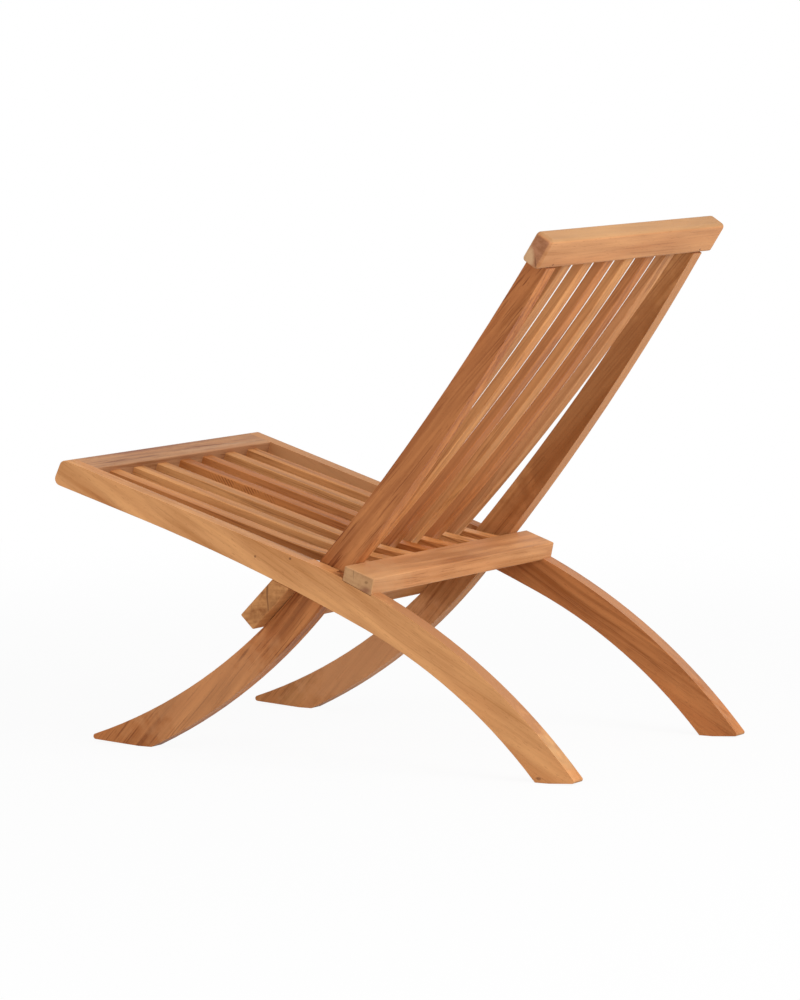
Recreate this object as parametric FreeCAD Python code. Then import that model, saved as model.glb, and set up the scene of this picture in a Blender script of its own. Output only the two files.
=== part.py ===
import FreeCAD, Part
import math
import os

# Low folding slatted chair in solid teak, open on its stops.
# Millimetres. X runs across the chair, Y from the front to the rear, Z up from the floor.
# Side outlines are drawn in the Y-Z plane; a heading is the angle of travel above level.

# Overall
overall_width = 500.0
side_board = 25.0
side_clearance = 1.5
stop_gap = 0.3
floor_overrun = 60.0
shin_overrun = 180.0
bar_round = 2.0

# Seat side rail, which bends down into the rear leg
seat_front_height = 384.6
seat_front_reach = 382.8
seat_slope = 17.25
seat_top_straight = 396.0
rear_leg_radius = 857.0
seat_rail_depth = 35.5
seat_underside_slope = 16.8
seat_underside_straight = 142.0
seat_underside_radius = 3030.0
seat_underside_curve = 370.0
rear_leg_inner_radius = 726.0
seat_nose_round = 9.0
seat_nose_lean = 7.0

# Back side rail, which bends forward into the front leg
front_heel_reach = 261.0
front_heel_heading = 25.7
front_leg_radius = 820.0
front_leg_curve = 334.0
back_radius = 3540.0
back_long_curve = 565.5
front_leg_depth = 45.1
front_toe_heading = 25.1
front_shin_radius = 770.0
front_shin_curve = 305.0
back_front_radius = 3790.0

# Feet
foot_land = 20.0
foot_relief = 3.8
front_toe_round = 3.8
rear_toe_round = 3.0
heel_round = 2.0

# Front rail of the seat
front_rail_width = 43.0
rail_tenon_length = 15.0
rail_tenon_width = 24.0
rail_tenon_height = 18.0

# Seat slats
seat_slat_count = 7
slat_width = 25.0
seat_slat_thickness = 12.0
seat_slat_drop = 6.5
seat_slat_rise = 1.05
seat_slat_straight = 289.0
seat_slat_rear_drop = 4.0

# Rear crossbar, lying on the seat rails behind the back
rear_bar_width = 47.0
rear_bar_front_height = 20.5
rear_bar_rear_height = 23.5
rear_bar_lean = 78.0
rear_bar_housing = 3.0

# Lower crossbar, on the front edges of the back rails under the seat rails
lower_bar_height = 81.0
lower_bar_thickness = 26.5

# Top rail
top_rail_height = 44.0
top_rail_thickness = 26.0
top_rail_corner = 7.0
top_rail_edge_round = 5.0
top_rail_low_corner = 3.0

# Back slats
back_slat_count = 6
back_slat_thickness = 12.5
back_slat_width = 26.0
back_slat_low_inset = 3.0
back_slat_top_inset = 8.0
back_slat_bow = 11.0

# Slat tenons and rail tenons
slat_tenon_length = 14.0
slat_tenon_width = 18.0
slat_tenon_thickness = 8.0
slat_blank_overrun = 5.6
back_rail_tenon_length = 25.0
back_rail_tenon_width = 12.0
back_rail_tenon_depth = 18.0

# Dowels, pegs and the fold pivot
dowel_diameter = 8.0
dowel_depth = 13.0
dowel_spread = 22.0
pin_diameter = 3.0
pin_length = 20.0
pin_height = 6.0
pivot_diameter = 8.0
pivot_depth = 18.0
pivot_running_fit = 0.08
washer_diameter = 22.0
washer_thickness = 1.2


def vector(x, y, z):
    return FreeCAD.Vector(x, y, z)


def ahead(point, heading, distance):
    """The point a distance away from a side-view point, along a heading in radians."""
    return (point[0] + distance * math.cos(heading), point[1] + distance * math.sin(heading))


def left_of(point, heading, distance):
    """The point a distance to the left of a side-view point that faces along a heading."""
    return ahead(point, heading + math.pi / 2, distance)


def heading_between(first, second):
    return math.atan2(second[1] - first[1], second[0] - first[0])


class SideCurve:
    """A smooth side-view curve: a start, a heading and stretches of (length, radius).

    A positive radius bends to the left of travel, a negative one to the right, none is straight.
    """

    def __init__(self, start, heading, stretches):
        self.joints = []
        point = start
        for length, radius in stretches:
            self.joints.append((point, heading, length, radius))
            point, heading = self.travel(point, heading, radius, length)
        self.length = sum(length for length, radius in stretches)

    def travel(self, point, heading, radius, distance):
        if not radius:
            return ahead(point, heading, distance), heading
        centre = left_of(point, heading, radius)
        turned = heading + distance / radius
        return left_of(centre, turned, -radius), turned

    def at(self, distance):
        """The side-view point and heading at a distance along the curve."""
        passed = 0.0
        for point, heading, length, radius in self.joints:
            if distance <= passed + length:
                return self.travel(point, heading, radius, distance - passed)
            passed += length
        point, heading, length, radius = self.joints[-1]
        return self.travel(point, heading, radius, distance - passed + length)

    def point(self, distance):
        return self.at(distance)[0]

    def breaks(self, first, last):
        """The distances that part the curve into single lines and arcs between two ends."""
        marks = [first]
        passed = 0.0
        for point, heading, length, radius in self.joints[:-1]:
            passed += length
            if first < passed < last:
                marks.append(passed)
        return marks + [last]

    def edges(self, first, last):
        """The curve between two distances as lines and arcs in the plane x = 0."""
        marks = self.breaks(first, last)
        pieces = []
        for low, high in zip(marks[:-1], marks[1:]):
            ends = [vector(0, *self.point(place)) for place in (low, 0.5 * (low + high), high)]
            chord = ends[2] - ends[0]
            bulge = (ends[1] - ends[0]).cross(chord).Length / chord.Length
            if bulge < 0.001:
                pieces.append(Part.LineSegment(ends[0], ends[2]).toShape())
            else:
                pieces.append(Part.Arc(ends[0], ends[1], ends[2]).toShape())
        return pieces

    def offset(self, distance):
        """The curve that runs a distance to the left of this one."""
        start, heading = self.joints[0][:2]
        stretches = []
        for point, bend_heading, length, radius in self.joints:
            scale = (radius - distance) / radius if radius else 1.0
            stretches.append((length * scale, radius - distance if radius else 0))
        return SideCurve(left_of(start, heading, distance), heading, stretches)

    def nearest(self, target, guess):
        """The distance along the curve at the point closest to a target."""
        place = guess
        for turn in range(30):
            point, heading = self.at(place)
            gap = (target[0] - point[0], target[1] - point[1])
            place += gap[0] * math.cos(heading) + gap[1] * math.sin(heading)
        return place

    def left_offset(self, target, guess):
        """How far a target lies to the left of the curve."""
        point, heading = self.at(self.nearest(target, guess))
        return (target[1] - point[1]) * math.cos(heading) - (target[0] - point[0]) * math.sin(heading)


def crossing(one, other, one_guess, other_guess):
    """The distances along two curves at which they cross."""
    one_place, other_place = one_guess, other_guess
    for turn in range(40):
        one_point, one_heading = one.at(one_place)
        other_point, other_heading = other.at(other_place)
        across = other_point[0] - one_point[0]
        up = other_point[1] - one_point[1]
        turn_between = one_heading - other_heading
        move = (up * math.cos(other_heading) - across * math.sin(other_heading)) / math.sin(turn_between)
        one_place += move
        other_place += move * math.cos(turn_between)
        other_place -= across * math.cos(other_heading) + up * math.sin(other_heading)
    return one_place, other_place


def line_crossing(first, first_heading, second, second_heading):
    """The side-view point where two straight lines cross."""
    across = second[0] - first[0]
    up = second[1] - first[1]
    reach = up * math.cos(second_heading) - across * math.sin(second_heading)
    return ahead(first, first_heading, reach / math.sin(first_heading - second_heading))


def board(wire_edges, low_x, high_x):
    """A board cut to a side outline and standing between two x positions."""
    outline = Part.Wire(Part.__sortEdges__(wire_edges))
    flat = Part.Face(outline)
    flat.translate(vector(low_x, 0, 0))
    return flat.extrude(vector(high_x - low_x, 0, 0))


def polygon_board(points, low_x, high_x):
    corners = [vector(0, *point) for point in points]
    closed = corners + corners[:1]
    flat = Part.Face(Part.makePolygon(closed))
    flat.translate(vector(low_x, 0, 0))
    return flat.extrude(vector(high_x - low_x, 0, 0))


def spans_x(edge):
    return abs(edge.Vertexes[0].X - edge.Vertexes[-1].X) > 1.0


def round_across(shape, radius, corner_points):
    """Round the edges that run across the chair through the given side-view corners."""
    chosen = []
    for edge in shape.Edges:
        if not spans_x(edge):
            continue
        spot = edge.Vertexes[0].Point
        for corner in corner_points:
            if math.hypot(spot.y - corner[0], spot.z - corner[1]) < 0.01:
                chosen.append(edge)
    return shape.makeFillet(radius, chosen)


def between_curves(upper, lower, upper_ends, lower_ends, low_x, high_x):
    """A board between two side curves, closed by straight ends."""
    top = upper.edges(*upper_ends)
    bottom = lower.edges(*lower_ends)
    caps = []
    for upper_place, lower_place in zip(upper_ends, lower_ends):
        start = vector(0, *upper.point(upper_place))
        end = vector(0, *lower.point(lower_place))
        caps.append(Part.LineSegment(start, end).toShape())
    return board(top + bottom + caps, low_x, high_x)


def rod(centre, direction, diameter, length):
    """A round rod centred on a point."""
    start = centre - direction * (0.5 * length)
    return Part.makeCylinder(0.5 * diameter, length, start, direction)


def mirrored(shape):
    return shape.mirror(vector(0, 0, 0), vector(1, 0, 0))


def group(shapes):
    return Part.makeCompound(shapes)


# Side curves of the seat rail and rear leg
seat_heading = -math.radians(seat_slope)
seat_top_corner = (-seat_front_reach, seat_front_height)
nose_heading = seat_heading - math.radians(90.0 + seat_nose_lean)
nose_length = seat_rail_depth / math.cos(math.radians(seat_nose_lean))
seat_low_corner = ahead(seat_top_corner, nose_heading, nose_length)
rear_leg_run = 600.0
seat_top = SideCurve(
    seat_top_corner, seat_heading,
    [(seat_top_straight, 0), (rear_leg_run, -rear_leg_radius)])
seat_underside = SideCurve(
    seat_low_corner, -math.radians(seat_underside_slope),
    [(seat_underside_straight, 0), (seat_underside_curve, -seat_underside_radius),
     (rear_leg_run, -rear_leg_inner_radius)])

# Side curves of the back rail and front leg, drawn from the floor up
heel_heading = math.radians(front_heel_heading)
heel = (-front_heel_reach, 0.0)
back_rear = SideCurve(
    heel, heel_heading,
    [(front_leg_curve, front_leg_radius), (back_long_curve, back_radius)])
shin_start = left_of(heel, heel_heading, front_leg_depth)
back_front = SideCurve(
    shin_start, math.radians(front_toe_heading),
    [(front_shin_curve, front_shin_radius), (back_long_curve, back_front_radius)])


# Where the two frames cross; halfway is a place near the crossing on every side curve
halfway = 400.0
places = {}
for seat_name, seat_curve in (("top", seat_top), ("underside", seat_underside)):
    for back_name, back_curve in (("rear", back_rear), ("front", back_front)):
        places[seat_name, back_name] = crossing(seat_curve, back_curve, halfway, halfway)
crossing_points = []
for names, found in places.items():
    crossed = seat_top if names[0] == "top" else seat_underside
    crossing_points.append(crossed.point(found[0]))
pivot = (
    sum(point[0] for point in crossing_points) / len(crossing_points),
    sum(point[1] for point in crossing_points) / len(crossing_points))

# Widths across the chair
outer_x = 0.5 * overall_width
inner_x = outer_x - side_board
back_outer_x = inner_x - side_clearance
back_inner_x = back_outer_x - side_board

# Top end of the back rails, where the top rail sits
back_top_place = back_rear.length
back_top, back_top_heading = back_rear.at(back_top_place)
back_front_heading = back_front.at(back_front.nearest(back_top, back_front.length))[1]
top_heading = 0.5 * (back_top_heading + back_front_heading)


def floor_point(curve, guess):
    """Where a side curve meets the floor."""
    place = guess
    for turn in range(30):
        point, heading = curve.at(place)
        place -= point[1] / math.sin(heading)
    return curve.point(place)


def sole_waste(inner_point, outward):
    """The waste under a foot: level for a short land, then relieved towards the toe."""
    relief = math.radians(foot_relief)
    reach = overall_width
    drop = overall_width
    land_end = (inner_point[0] + outward * foot_land, 0.0)
    behind = (inner_point[0] - outward * reach, 0.0)
    toe = (land_end[0] + outward * reach, reach * math.tan(relief))
    points = [behind, land_end, toe, (toe[0], -drop), (behind[0], -drop)]
    return polygon_board(points, -overall_width, overall_width)


def toe_corner(curve, guess, inner_point, outward):
    """Where the outer curve of a foot meets its relieved sole."""
    relief = math.radians(foot_relief)
    land_end = (inner_point[0] + outward * foot_land, 0.0)
    sole_heading = relief if outward > 0 else math.pi - relief
    point = floor_point(curve, guess)
    for turn in range(20):
        heading = curve.at(curve.nearest(point, guess))[1]
        point = line_crossing(land_end, sole_heading, point, heading)
        point = curve.point(curve.nearest(point, guess))
    return point


def seat_side(low_x, high_x):
    """Seat rail and rear leg in one board, before its joints are cut."""
    run = halfway + rear_leg_run
    foot = floor_point(seat_underside, 2.0 * halfway)
    blank = between_curves(seat_top, seat_underside, (0.0, run), (0.0, run), low_x, high_x)
    shaped = blank.cut(sole_waste(foot, 1))
    toe = toe_corner(seat_top, 2.0 * halfway, foot, 1)
    shaped = round_across(shaped, seat_nose_round, [seat_top_corner, seat_low_corner])
    shaped = round_across(shaped, rear_toe_round, [toe])
    return round_across(shaped, heel_round, [foot])


def back_side(low_x, high_x):
    """Back rail and front leg in one board, before its joints are cut."""
    beyond = back_top_place + floor_overrun
    blank = between_curves(
        back_front, back_rear, (-shin_overrun, beyond), (-floor_overrun, beyond),
        low_x, high_x)
    shaped = blank.cut(sole_waste(heel, -1))
    toe = toe_corner(back_front, 0.0, heel, -1)
    shaped = round_across(shaped, front_toe_round, [toe])
    return round_across(shaped, heel_round, [heel])


def front_rail_body():
    """The front rail between the seat rails, flush with their top edges and noses."""
    rear_top = seat_top.point(front_rail_width)
    square_below = left_of(rear_top, seat_heading, -seat_rail_depth)
    rear_low = seat_underside.point(seat_underside.nearest(square_below, front_rail_width))
    corners = [seat_top_corner, rear_top, rear_low, seat_low_corner]
    body = polygon_board(corners, -inner_x, inner_x)
    body = round_across(body, seat_nose_round, [seat_top_corner, seat_low_corner])
    return round_across(body, bar_round, [rear_top, rear_low])


def front_rail_tenons():
    centre = left_of(
        seat_top.point(0.5 * front_rail_width), seat_heading, -0.5 * seat_rail_depth)
    start = ahead(centre, seat_heading, -0.5 * rail_tenon_width)
    end = ahead(centre, seat_heading, 0.5 * rail_tenon_width)
    half = 0.5 * rail_tenon_height
    corners = [
        left_of(start, seat_heading, half), left_of(end, seat_heading, half),
        left_of(end, seat_heading, -half), left_of(start, seat_heading, -half)]
    reach = inner_x + rail_tenon_length
    return polygon_board(corners, -reach, reach)


def rear_bar_corners(front_place):
    """Side corners of the rear crossbar: front bottom, rear bottom, rear top, front top."""
    front_low = rear_bar_seat.point(front_place)
    rear_low = rear_bar_seat.point(front_place + rear_bar_width)
    lean = math.radians(rear_bar_lean)
    front_top = ahead(front_low, lean, rear_bar_front_height)
    rear_top = ahead(rear_low, lean, rear_bar_rear_height)
    return [front_low, rear_low, rear_top, front_top]


def corner_recess(radius, first_normal, second_normal, facing):
    """How far a rounded corner falls short of the sharp one, seen along a facing heading."""
    middle = 0.5 * (first_normal + second_normal)
    half = 0.5 * (second_normal - first_normal)
    return radius * (math.cos(facing - middle) / math.cos(half) - 1.0)


def place_rear_bar():
    """Slide the crossbar along the seat rails until its eased top corner just misses the back rails."""
    place = places["top", "rear"][0]
    for turn in range(20):
        front_low, rear_low, rear_top, front_top = rear_bar_corners(place)
        top_normal = heading_between(front_top, rear_top) + math.pi / 2
        front_normal = heading_between(front_low, front_top) + math.pi / 2
        stop_heading = back_rear.at(back_rear.nearest(front_top, halfway))[1]
        recess = corner_recess(bar_round, top_normal, front_normal, stop_heading + math.pi / 2)
        place += stop_gap - recess + back_rear.left_offset(front_top, halfway)
    return rear_bar_corners(place)


# The rear crossbar is housed a little way into the seat rails
rear_bar_seat = seat_top.offset(-rear_bar_housing)
rear_bar = place_rear_bar()


def lower_bar_corners():
    """Side corners of the lower crossbar: front top, rear top, rear bottom, front bottom."""
    stop_line = seat_underside.offset(-stop_gap)
    stop_place, top_place = crossing(stop_line, back_front, halfway, halfway)
    rear_top = back_front.point(top_place)
    rear_low = back_front.point(top_place - lower_bar_height)
    bar_heading = heading_between(rear_low, rear_top)
    front_low = left_of(rear_low, bar_heading, lower_bar_thickness)
    stop_heading = stop_line.at(stop_place - lower_bar_thickness)[1]
    front_top = line_crossing(front_low, bar_heading, rear_top, stop_heading)
    return [front_top, rear_top, rear_low, front_low]


lower_bar = lower_bar_corners()
lower_bar_heading = heading_between(lower_bar[2], lower_bar[1])

# The seat slats run straight from the front rail, then ease into the front of the rear bar
slat_start = left_of(seat_top.point(front_rail_width), seat_heading, -seat_slat_drop)
slat_heading = seat_heading + math.radians(seat_slat_rise)
slat_bend = ahead(slat_start, slat_heading, seat_slat_straight)
rear_bar_lean_heading = heading_between(rear_bar[0], rear_bar[3])
slat_end = ahead(rear_bar[3], rear_bar_lean_heading, -seat_slat_rear_drop)
slat_turn = 2.0 * (heading_between(slat_bend, slat_end) - slat_heading)
slat_chord = math.dist(slat_bend, slat_end)
slat_ease_radius = 0.5 * slat_chord / math.sin(0.5 * slat_turn)
seat_slat_top = SideCurve(
    slat_start, slat_heading,
    [(seat_slat_straight, 0), (slat_ease_radius * slat_turn, slat_ease_radius)])

# The back slats bow from the middle of the lower bar to the underside of the top rail
low_inset = back_slat_low_inset + 0.5 * back_slat_thickness
low_line_point = left_of(lower_bar[1], lower_bar_heading, low_inset)
stop_face_heading = heading_between(lower_bar[0], lower_bar[1])
back_slat_low = line_crossing(
    low_line_point, lower_bar_heading, lower_bar[1], stop_face_heading)
back_slat_high = left_of(back_top, top_heading, back_slat_top_inset + 0.5 * back_slat_thickness)
back_slat_chord = math.dist(back_slat_low, back_slat_high)
back_slat_radius = back_slat_chord ** 2 / (8.0 * back_slat_bow) + 0.5 * back_slat_bow
back_slat_turn = 2.0 * math.asin(0.5 * back_slat_chord / back_slat_radius)
back_slat_centre = SideCurve(
    back_slat_low, heading_between(back_slat_low, back_slat_high) - 0.5 * back_slat_turn,
    [(back_slat_radius * back_slat_turn, back_slat_radius)])


def slat_positions(count):
    """Slat centres, evenly pitched about the middle of the chair."""
    pitch = (overall_width - side_board) / (seat_slat_count + 1)
    return [(index - 0.5 * (count - 1)) * pitch for index in range(count)]


def rear_bar_body():
    body = polygon_board(rear_bar, -outer_x, outer_x)
    return soften_bar(body)


def lower_bar_body():
    body = polygon_board(lower_bar, -outer_x, outer_x)
    return soften_bar(body)


def soften_bar(body):
    """Ease the long edges of a crossbar."""
    return body.makeFillet(bar_round, [edge for edge in body.Edges if spans_x(edge)])


def top_rail_body():
    """The top rail, standing on the back rails with rounded upper corners."""
    length_way = vector(1, 0, 0)
    up = vector(0, math.cos(top_heading), math.sin(top_heading))
    forward = vector(0, -math.sin(top_heading), math.cos(top_heading))
    low = vector(-outer_x, *back_top)
    base = Part.makePolygon([
        low, low + length_way * overall_width,
        low + length_way * overall_width + up * top_rail_height,
        low + up * top_rail_height, low])
    body = Part.Face(base).extrude(forward * top_rail_thickness)
    high_ends, low_ends = [], []
    for edge in body.Edges:
        way = edge.Vertexes[-1].Point - edge.Vertexes[0].Point
        if abs(way.dot(forward)) < 0.99 * way.Length:
            continue
        height = (edge.Vertexes[0].Point - low).dot(up)
        ends = high_ends if height > 0.5 * top_rail_height else low_ends
        ends.append(edge)
    body = body.makeFillet(top_rail_corner, high_ends)
    low_ends = [edge for edge in body.Edges if matches_any(edge, low_ends)]
    body = body.makeFillet(top_rail_low_corner, low_ends)
    outline = []
    for edge in body.Edges:
        way = edge.Vertexes[-1].Point - edge.Vertexes[0].Point
        if abs(way.dot(forward)) < 0.01 * way.Length:
            outline.append(edge)
    return body.makeFillet(top_rail_edge_round, outline)


def matches_any(edge, others):
    return any((edge.CenterOfMass - other.CenterOfMass).Length < 0.01 for other in others)


def back_rail_tenon(low_x, high_x):
    """The tenon that stands on a back rail and enters the top rail."""
    middle = left_of(back_top, top_heading, 0.5 * top_rail_thickness)
    half = 0.5 * back_rail_tenon_depth
    root = ahead(middle, top_heading, -back_rail_tenon_length)
    tip = ahead(middle, top_heading, back_rail_tenon_length)
    corners = [
        left_of(root, top_heading, half), left_of(tip, top_heading, half),
        left_of(tip, top_heading, -half), left_of(root, top_heading, -half)]
    centre = 0.5 * (low_x + high_x)
    half_width = 0.5 * back_rail_tenon_width
    return polygon_board(corners, centre - half_width, centre + half_width)


def slat_between(top_curve, thickness, width, ends):
    """A slat centred on x = 0, from a top curve down through its thickness."""
    lower_curve = top_curve.offset(-thickness)
    scale = lower_curve.length / top_curve.length
    lower_ends = (ends[0], ends[0] + (ends[1] - ends[0]) * scale)
    return between_curves(top_curve, lower_curve, ends, lower_ends, -0.5 * width, 0.5 * width)


def make_slat(top_curve, thickness, width, first_bar, last_bar):
    """A slat with its two tenons, shouldered against the bars at its ends."""
    body_ends = (-slat_blank_overrun, top_curve.length + slat_blank_overrun)
    body = slat_between(top_curve, thickness, width, body_ends)
    body = body.cut(first_bar).cut(last_bar)
    body = max(body.Solids, key=lambda solid: solid.Volume)
    inset = 0.5 * (thickness - slat_tenon_thickness)
    tenon_curve = top_curve.offset(-inset)
    near_end = (-slat_tenon_length, slat_tenon_length)
    far_end = (tenon_curve.length - slat_tenon_length, tenon_curve.length + slat_tenon_length)
    for ends in (near_end, far_end):
        tenon_piece = slat_between(tenon_curve, slat_tenon_thickness, slat_tenon_width, ends)
        body = body.fuse(tenon_piece)
    return body


def shifted(shape, across):
    copy = shape.copy()
    copy.translate(vector(across, 0, 0))
    return copy


def crossbar_dowels(corners, seat_board_low_x, into_heading):
    """Two dowels at each end that pin a crossbar to the rail under it."""
    middle = (
        0.5 * (corners[0][0] + corners[1][0]),
        0.5 * (corners[0][1] + corners[1][1]))
    along = heading_between(corners[0], corners[1])
    direction = vector(0, math.cos(into_heading), math.sin(into_heading))
    centre_x = seat_board_low_x + 0.5 * side_board
    rods = []
    for side in (-1, 1):
        for shift in (-0.5, 0.5):
            spot = ahead(middle, along, shift * dowel_spread)
            rods.append(rod(
                vector(side * centre_x, *spot), direction, dowel_diameter, 2.0 * dowel_depth))
    return rods


def tenon_pins():
    """Small pins that lock the back rail tenons in the top rail."""
    spot = ahead(back_top, top_heading, pin_height)
    forward = vector(0, -math.sin(top_heading), math.cos(top_heading))
    centre_x = 0.5 * (back_inner_x + back_outer_x)
    pins = []
    for side in (-1, 1):
        start = vector(side * centre_x, *spot)
        pins.append(Part.makeCylinder(0.5 * pin_diameter, pin_length, start, forward))
    return pins


def pivot_rod(side, extra_radius, inner_depth, outer_depth):
    """A rod on the fold axis, from inside the back rail to inside the seat rail."""
    start = vector(side * (back_outer_x - inner_depth), *pivot)
    length = inner_depth + side_clearance + outer_depth
    return Part.makeCylinder(
        0.5 * pivot_diameter + extra_radius, length, start, vector(side, 0, 0))


def washer(side):
    start = vector(side * back_outer_x, *pivot)
    way = vector(side, 0, 0)
    disc = Part.makeCylinder(0.5 * washer_diameter, washer_thickness, start, way)
    return disc.cut(Part.makeCylinder(0.5 * pivot_diameter, washer_thickness, start, way))


def cut_all(shape, tools):
    for tool in tools:
        shape = shape.cut(tool)
    return shape


# Bars and rails before their mortises
front_rail = front_rail_body().fuse(front_rail_tenons()).removeSplitter()
rear_crossbar = rear_bar_body()
lower_crossbar = lower_bar_body()
top_rail = top_rail_body()

# Slats
seat_slat = make_slat(
    seat_slat_top, seat_slat_thickness, slat_width, front_rail, rear_crossbar)
back_slat = make_slat(
    back_slat_centre.offset(0.5 * back_slat_thickness), back_slat_thickness, back_slat_width,
    lower_crossbar, top_rail)
seat_slats = [shifted(seat_slat, across) for across in slat_positions(seat_slat_count)]
back_slats = [shifted(back_slat, across) for across in slat_positions(back_slat_count)]

# Dowels, pins and pivots
down_through_rear_bar = heading_between(rear_bar[0], rear_bar[1]) - math.pi / 2
rear_dowels = crossbar_dowels(rear_bar, inner_x, down_through_rear_bar)
lower_dowels = crossbar_dowels(
    [lower_bar[2], lower_bar[1]], back_inner_x, lower_bar_heading - math.pi / 2)
locking_pins = tenon_pins()
pivot_pins = [pivot_rod(side, 0.0, pivot_depth, pivot_depth) for side in (-1, 1)]
washers = [washer(side) for side in (-1, 1)]

# Rails with their joints cut
seat_rail_cuts = [front_rail, rear_crossbar] + rear_dowels
pivot_bores = [
    pivot_rod(side, pivot_running_fit, pivot_depth, pivot_depth + stop_gap) for side in (-1, 1)]
seat_rail_left = cut_all(
    seat_side(inner_x, outer_x), seat_rail_cuts + pivot_bores)
seat_rail_right = mirrored(seat_rail_left)
tenon = back_rail_tenon(back_inner_x, back_outer_x)
back_blank = cut_all(back_side(back_inner_x, back_outer_x), [top_rail])
back_blank = max(back_blank.Solids, key=lambda solid: solid.BoundBox.ZLength)
waste_low_front = left_of(back_top, top_heading, halfway)
waste_low_rear = left_of(back_top, top_heading, -halfway)
waste_corners = [
    waste_low_rear, waste_low_front,
    ahead(waste_low_front, top_heading, halfway), ahead(waste_low_rear, top_heading, halfway)]
top_waste = polygon_board(waste_corners, -overall_width, overall_width)
back_rail_left = back_blank.cut(top_waste).fuse(tenon).removeSplitter()
back_rail_left = cut_all(
    back_rail_left, [lower_crossbar] + lower_dowels + locking_pins + pivot_pins)
back_rail_right = mirrored(back_rail_left)

# Bars with their mortises
front_rail = cut_all(front_rail, seat_slats)
rear_crossbar = cut_all(rear_crossbar, seat_slats + rear_dowels)
lower_crossbar = cut_all(lower_crossbar, back_slats + lower_dowels)
top_rail = cut_all(top_rail, back_slats + [tenon, mirrored(tenon)] + locking_pins)

nodes = {
    "seat_rail_left": seat_rail_left,
    "seat_rail_right": seat_rail_right,
    "front_rail": front_rail,
    "rear_crossbar": rear_crossbar,
    "rear_crossbar_dowels": group(rear_dowels),
    "back_rail_left": back_rail_left,
    "back_rail_right": back_rail_right,
    "lower_crossbar": lower_crossbar,
    "lower_crossbar_dowels": group(lower_dowels),
    "top_rail": top_rail,
    "top_rail_pins": group(locking_pins),
    "pivot_pins": group(pivot_pins),
    "spacer_washers": group(washers),
}
for number, slat in enumerate(seat_slats, start=1):
    nodes["seat_slat_%d" % number] = slat
for number, slat in enumerate(back_slats, start=1):
    nodes["back_slat_%d" % number] = slat

# The origin is on the floor, midway between the front and the rear of the open chair
seat_extent = seat_rail_left.optimalBoundingBox(False, False)
to_origin = vector(0, -0.5 * (seat_extent.YMin + seat_extent.YMax), 0)

os.makedirs("parts", exist_ok=True)
for name, shape in nodes.items():
    placed = shape.copy()
    placed.translate(to_origin)
    placed.exportStep("parts/%s.step" % name)
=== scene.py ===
import math
import random

import bpy
from mathutils import Matrix, Vector

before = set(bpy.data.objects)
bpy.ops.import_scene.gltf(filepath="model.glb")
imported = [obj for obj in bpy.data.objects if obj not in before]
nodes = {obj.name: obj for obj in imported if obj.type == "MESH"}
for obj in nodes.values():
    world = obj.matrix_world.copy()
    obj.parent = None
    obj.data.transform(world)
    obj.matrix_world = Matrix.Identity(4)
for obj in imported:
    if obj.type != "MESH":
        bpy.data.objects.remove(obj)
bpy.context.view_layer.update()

# Photograph's view: place in metres, turns in degrees, lens and sensor in millimetres
camera_place = (6.0311, 3.4201, 1.0225)
camera_azimuth = 119.574
camera_elevation = 5.7415
camera_roll = -0.1366
camera_lens = 186.21
camera_reach = 100.0
sensor_width = 36.0

# Easing of the boards' arrises, in metres
arris_round = 0.002
slat_arris_round = 0.0014
bevel_steps = 3

# An edge is eased if it turns outward by more than the first angle, unless a face beside it
# has an edge that turns inward by more than the second
outward_angle = math.radians(40)
inward_angle = math.radians(20)

# A mark on an edge or a face counts as set from here on
hardly_any = 0.001

# Edges that turn further than this stay sharp in the shading
sharp_angle = math.radians(32)

# Points nearer than this, and faces that meet flatter than this, are joined first
weld_distance = 0.00001
flat_angle = math.radians(0.2)

# World, floor and lamps: 1 is white, lengths are in metres and power in watts.
# Seen by the camera, the floor fades to white between two distances from the chair's middle
world_strength = 0.64
floor_whiteness = 0.93
floor_fade = (0.9, 2.6)
floor_colour = (0.72, 0.72, 0.72, 1.0)
floor_roughness = 0.9
floor_reach = 30.0
white = (1.0, 1.0, 1.0, 1.0)
key_lamp = dict(place=(0.4, 2.8, 1.9), target=(0.0, 0.0, 0.35), size=1.8, power=78.0)
fill_lamp = dict(place=(2.2, -1.2, 0.5), target=(0.0, 0.0, 0.15), size=1.6, power=13.0)

# Figure of the wood, as repeats per metre along the grain and both ways across it
wave_grain = (3.2, 9.0, 9.0)
patch_grain = (6.0, 42.0, 42.0)
streak_grain = (3.0, 115.0, 115.0)
cloud_grain = (4.0, 22.0, 22.0)
line_grain = (7.0, 480.0, 480.0)
fibre_grain = (20.0, 900.0, 900.0)
pore_grain = (110.0, 1000.0, 1000.0)
rings_per_metre = 95.0
ring_unevenness = 160.0
veins_per_metre = 75.0

# How far the waves bend the figure, in metres
wave_swing = (0.0, 0.014, 0.014)

# Tone of the wood, from 0 for pale to 1 for dark, and what each figure adds to it
pale_tone = 0.02
middle_tone = 0.42
deep_tone = 0.9
ring_contrast = 0.9
late_wood_contrast = 0.55
late_wood_balance = -0.1
patch_contrast = 1.9
streak_contrast = 1.3
fibre_contrast = 0.45

# How strongly other colours show in the wood, from 0 to 1
blush_strength = 0.45
pore_strength = 0.35
wear_and_highlight_strength = 0.75

# Sawn ends: their figure as repeats per metre, and what it adds to their tone
speck_grain = (300.0, 900.0, 900.0)
blotch_grain = (70.0, 70.0, 70.0)
check_grain = (0.0, 190.0, 17.0)
end_tone = 0.22
end_ring_contrast = 0.8
end_speck_contrast = 0.5
end_blotch_contrast = 2.2

# How squarely a face has to cut the grain, with 1 as square, to look sawn: wholly, or in
# part where it slants
square_cut = (0.86, 0.985)
slant_cut = (0.2, 0.6)
slant_share = 0.4
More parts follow.
